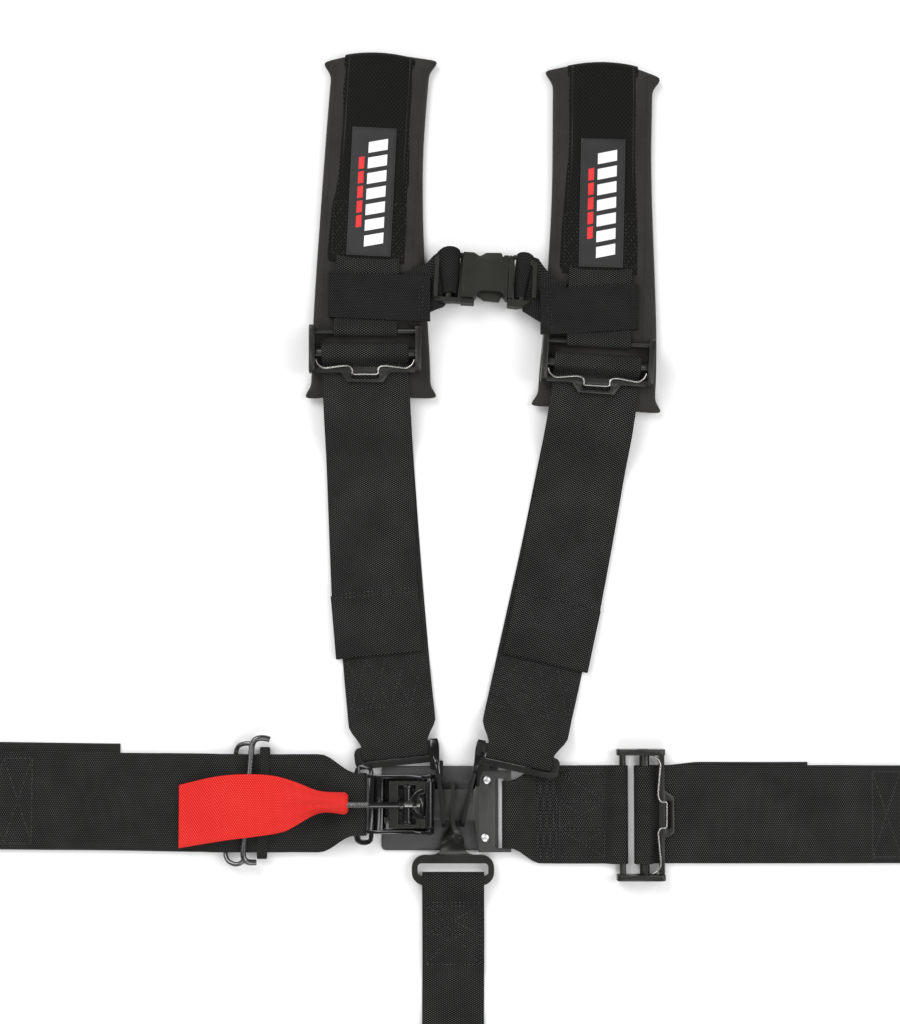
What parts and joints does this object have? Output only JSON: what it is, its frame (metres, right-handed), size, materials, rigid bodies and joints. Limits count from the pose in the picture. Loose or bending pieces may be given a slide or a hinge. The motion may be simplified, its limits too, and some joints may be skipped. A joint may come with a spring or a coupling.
{
  "type": "racing harness",
  "caption": "Racing harness laid flat: padded shoulder straps, chest buckle, lap straps, crotch strap and a lever latch over a tongue and links.",
  "frame": {"origin": "on the underside of the backing flap, below the place where the three links sit on the tongue", "axes": "+X to the wearer's left as the harness is drawn (the right of the picture), +Y up the shoulder straps, +Z off the floor"},
  "size_m": [0.95, 0.8788, 0.025],
  "materials": {
    "black_webbing": "woven polyester webbing",
    "neoprene": "matt knitted neoprene",
    "cover_fabric": "ribbed woven nylon",
    "label_patch": "printed woven patch",
    "red_webbing": "woven red webbing",
    "link_steel": "satin black oxide",
    "black_gloss_steel": "glossy black plating",
    "spring_steel": "drawn wire",
    "rivet_aluminium": "bare dome head",
    "buckle_plastic": "moulded, fine texture",
    "flap_rubber": "smooth matt sheet"
  },
  "bodies": {
    "root": {"backing_flap": "flap_rubber", "tongue": "link_steel", "rivet_upper": "rivet_aluminium", "rivet_lower": "rivet_aluminium", "crotch_link": "black_gloss_steel", "latch_frame": "black_gloss_steel", "lever_pin": "black_gloss_steel", "lever_leaf_spring": "spring_steel"},
    "latch_lever": {"latch_lever": "black_gloss_steel", "lever_rod": "spring_steel", "red_pull_tab": "red_webbing"},
    "left_shoulder": {"left_shoulder_link": "link_steel", "left_shoulder_webbing": "black_webbing", "left_shoulder_adjuster_frame": "link_steel", "left_shoulder_adjuster_spring": "spring_steel", "left_shoulder_upper_strap": "black_webbing", "left_shoulder_pad": "neoprene", "left_pad_cover": "cover_fabric", "left_pad_label": "label_patch", "left_shoulder_anchor": "link_steel", "left_chest_strap": "black_webbing", "chest_socket": "buckle_plastic"},
    "left_shoulder_slide_bar": {"left_shoulder_slide_bar": "link_steel"},
    "right_shoulder": {"right_shoulder_link": "link_steel", "right_shoulder_webbing": "black_webbing", "right_shoulder_adjuster_frame": "link_steel", "right_shoulder_adjuster_spring": "spring_steel", "right_shoulder_upper_strap": "black_webbing", "right_shoulder_pad": "neoprene", "right_pad_cover": "cover_fabric", "right_pad_label": "label_patch", "right_shoulder_anchor": "link_steel", "right_chest_strap": "black_webbing", "chest_plug": "buckle_plastic"},
    "right_shoulder_slide_bar": {"right_shoulder_slide_bar": "link_steel"},
    "chest_prong_upper": {"chest_prong_upper": "buckle_plastic"},
    "chest_prong_lower": {"chest_prong_lower": "buckle_plastic"},
    "left_lap": {"left_lap_webbing": "black_webbing"},
    "left_lap_anchor": {"left_lap_anchor": "link_steel"},
    "left_lap_slide": {"left_lap_slide": "spring_steel"},
    "right_lap": {"right_lap_loop": "black_webbing", "right_lap_webbing": "black_webbing", "right_lap_adjuster_frame": "link_steel", "right_lap_adjuster_spring": "spring_steel"},
    "right_lap_slide_bar": {"right_lap_slide_bar": "link_steel"},
    "right_lap_anchor": {"right_lap_anchor": "link_steel"},
    "crotch": {"crotch_strap": "black_webbing"},
    "crotch_anchor": {"crotch_anchor": "link_steel"}
  },
  "joints": [
    {"name": "latch_lever_flip", "type": "hinge", "parent": "root", "child": "latch_lever", "pos_m": [-0.018, 0.0008, 0.0145], "axis": [0, 1, 0], "range_deg": [0, 105]},
    {"name": "left_shoulder_swing", "type": "hinge", "parent": "root", "child": "left_shoulder", "pos_m": [-0.008, 0, 0.0096], "axis": [0, 0, 1], "range_deg": [0, 2.2]},
    {"name": "right_shoulder_swing", "type": "hinge", "parent": "root", "child": "right_shoulder", "pos_m": [0.0115, 0, 0.0096], "axis": [0, 0, -1], "range_deg": [0, 3]},
    {"name": "left_shoulder_bar_slide", "type": "slide", "parent": "left_shoulder", "child": "left_shoulder_slide_bar", "axis": [0, 1, 0], "range_m": [0, 0.0025], "stiffness_N_per_m": 800},
    {"name": "right_shoulder_bar_slide", "type": "slide", "parent": "right_shoulder", "child": "right_shoulder_slide_bar", "axis": [0.061, 0.9981, 0], "range_m": [0, 0.0025], "stiffness_N_per_m": 800},
    {"name": "right_lap_bar_slide", "type": "slide", "parent": "right_lap", "child": "right_lap_slide_bar", "axis": [-1, 0, 0], "range_m": [0, 0.0025], "stiffness_N_per_m": 800},
    {"name": "chest_prong_squeeze", "type": "hinge", "parent": "right_shoulder", "child": "chest_prong_upper", "pos_m": [0.04494, 0.42135, 0.011], "axis": [0, 0, 1], "range_deg": [0, 8], "stiffness_Nm_per_rad": 0.2},
    {"name": "chest_prong_squeeze_lower", "type": "hinge", "parent": "right_shoulder", "child": "chest_prong_lower", "pos_m": [0.04379, 0.40239, 0.011], "axis": [0, 0, -1], "range_deg": [0, 8], "stiffness_Nm_per_rad": 0.2},
    {"name": "left_lap_drape", "type": "hinge", "parent": "root", "child": "left_lap", "pos_m": [-0.0735, 0, 0.0097], "axis": [0, 1, 0], "range_deg": [-70, 0]},
    {"name": "right_lap_drape", "type": "hinge", "parent": "root", "child": "right_lap", "pos_m": [0.0435, 0, 0.005], "axis": [0, 1, 0], "range_deg": [0, 70]},
    {"name": "crotch_drape", "type": "hinge", "parent": "root", "child": "crotch", "pos_m": [0.0009, -0.0588, 0.0058], "axis": [1, 0, 0], "range_deg": [0, 80]},
    {"name": "left_lap_slide_adjust", "type": "slide", "parent": "left_lap", "child": "left_lap_slide", "axis": [1, 0, 0], "range_m": [-0.01, 0.01]},
    {"name": "left_lap_anchor_swivel", "type": "hinge", "parent": "left_lap", "child": "left_lap_anchor", "pos_m": [-0.425, 0.003, 0.0048], "axis": [0, 1, 0], "range_deg": [-20, 20]},
    {"name": "right_lap_anchor_swivel", "type": "hinge", "parent": "right_lap", "child": "right_lap_anchor", "pos_m": [0.425, -0.008, 0.0048], "axis": [0, 1, 0], "range_deg": [-20, 20]},
    {"name": "crotch_anchor_swivel", "type": "hinge", "parent": "crotch", "child": "crotch_anchor", "pos_m": [0.0009, -0.235, 0.0048], "axis": [1, 0, 0], "range_deg": [-20, 20]}
  ],
  "couplings": [
    {"joint": "chest_prong_squeeze_lower", "follows": "chest_prong_squeeze", "ratio": 1}
  ]
}
